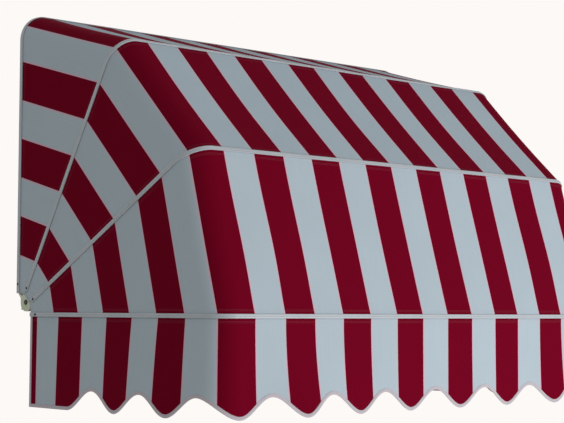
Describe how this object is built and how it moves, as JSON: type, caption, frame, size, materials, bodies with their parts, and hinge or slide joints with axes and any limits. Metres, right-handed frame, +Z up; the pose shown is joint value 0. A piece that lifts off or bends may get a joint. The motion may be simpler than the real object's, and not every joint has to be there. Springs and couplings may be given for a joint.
{
  "type": "folding basket awning",
  "caption": "Striped cloth hood on U-shaped hoops that fan out from a bracket at each lower corner, with a scalloped valance; the hoops fold up against the wall.",
  "frame": {"origin": "on the wall, at the middle of the centre wall clip's back face", "axes": "+X along the wall to the right seen from the street, -Y away from the wall, +Z up"},
  "size_m": [1.5132, 0.8145, 1.047],
  "materials": {
    "white_profile": "white powder coat, satin",
    "cast_fitting": "cream paint on a casting",
    "steel": "plain, slightly dull",
    "striped_cloth": "woven acrylic, burgundy and cool white block stripes",
    "binding_tape": "woven tape, pale grey pink"
  },
  "bodies": {
    "wall_frame": {"wall_hoop": "white_profile", "wall_clip_left": "white_profile", "wall_clip_centre": "white_profile", "wall_clip_right": "white_profile", "wall_bracket_left": "cast_fitting", "wall_bracket_right": "cast_fitting", "pivot_pin_left": "steel", "pivot_pin_right": "steel", "retaining_ring_left": "steel", "retaining_ring_right": "steel", "wall_rivet_left": "steel", "wall_rivet_right": "steel", "upper_panel": "striped_cloth"},
    "upper_bow": {"upper_hoop": "white_profile", "upper_end_fitting_left": "cast_fitting", "upper_end_fitting_right": "cast_fitting", "upper_rivet_left": "steel", "upper_rivet_right": "steel", "middle_panel": "striped_cloth"},
    "middle_bow": {"middle_hoop": "white_profile", "middle_end_fitting_left": "cast_fitting", "middle_end_fitting_right": "cast_fitting", "middle_rivet_left": "steel", "middle_rivet_right": "steel", "lower_panel": "striped_cloth"},
    "front_bow": {"front_hoop": "white_profile", "front_end_fitting_left": "cast_fitting", "front_end_fitting_right": "cast_fitting", "front_rivet_left": "steel", "front_rivet_right": "steel", "valance": "striped_cloth", "valance_binding": "binding_tape"}
  },
  "joints": [
    {"name": "upper_fold", "type": "hinge", "parent": "wall_frame", "child": "upper_bow", "pos_m": [0, -0.0415, -0.7317], "axis": [-1, 0, 0], "range_deg": [0, 30], "deforming": ["upper_panel"]},
    {"name": "middle_fold", "type": "hinge", "parent": "upper_bow", "child": "middle_bow", "pos_m": [0, -0.0415, -0.7317], "axis": [-1, 0, 0], "range_deg": [0, 30], "deforming": ["middle_panel"]},
    {"name": "front_fold", "type": "hinge", "parent": "middle_bow", "child": "front_bow", "pos_m": [0, -0.0415, -0.7317], "axis": [-1, 0, 0], "range_deg": [0, 30], "deforming": ["lower_panel"]}
  ]
}
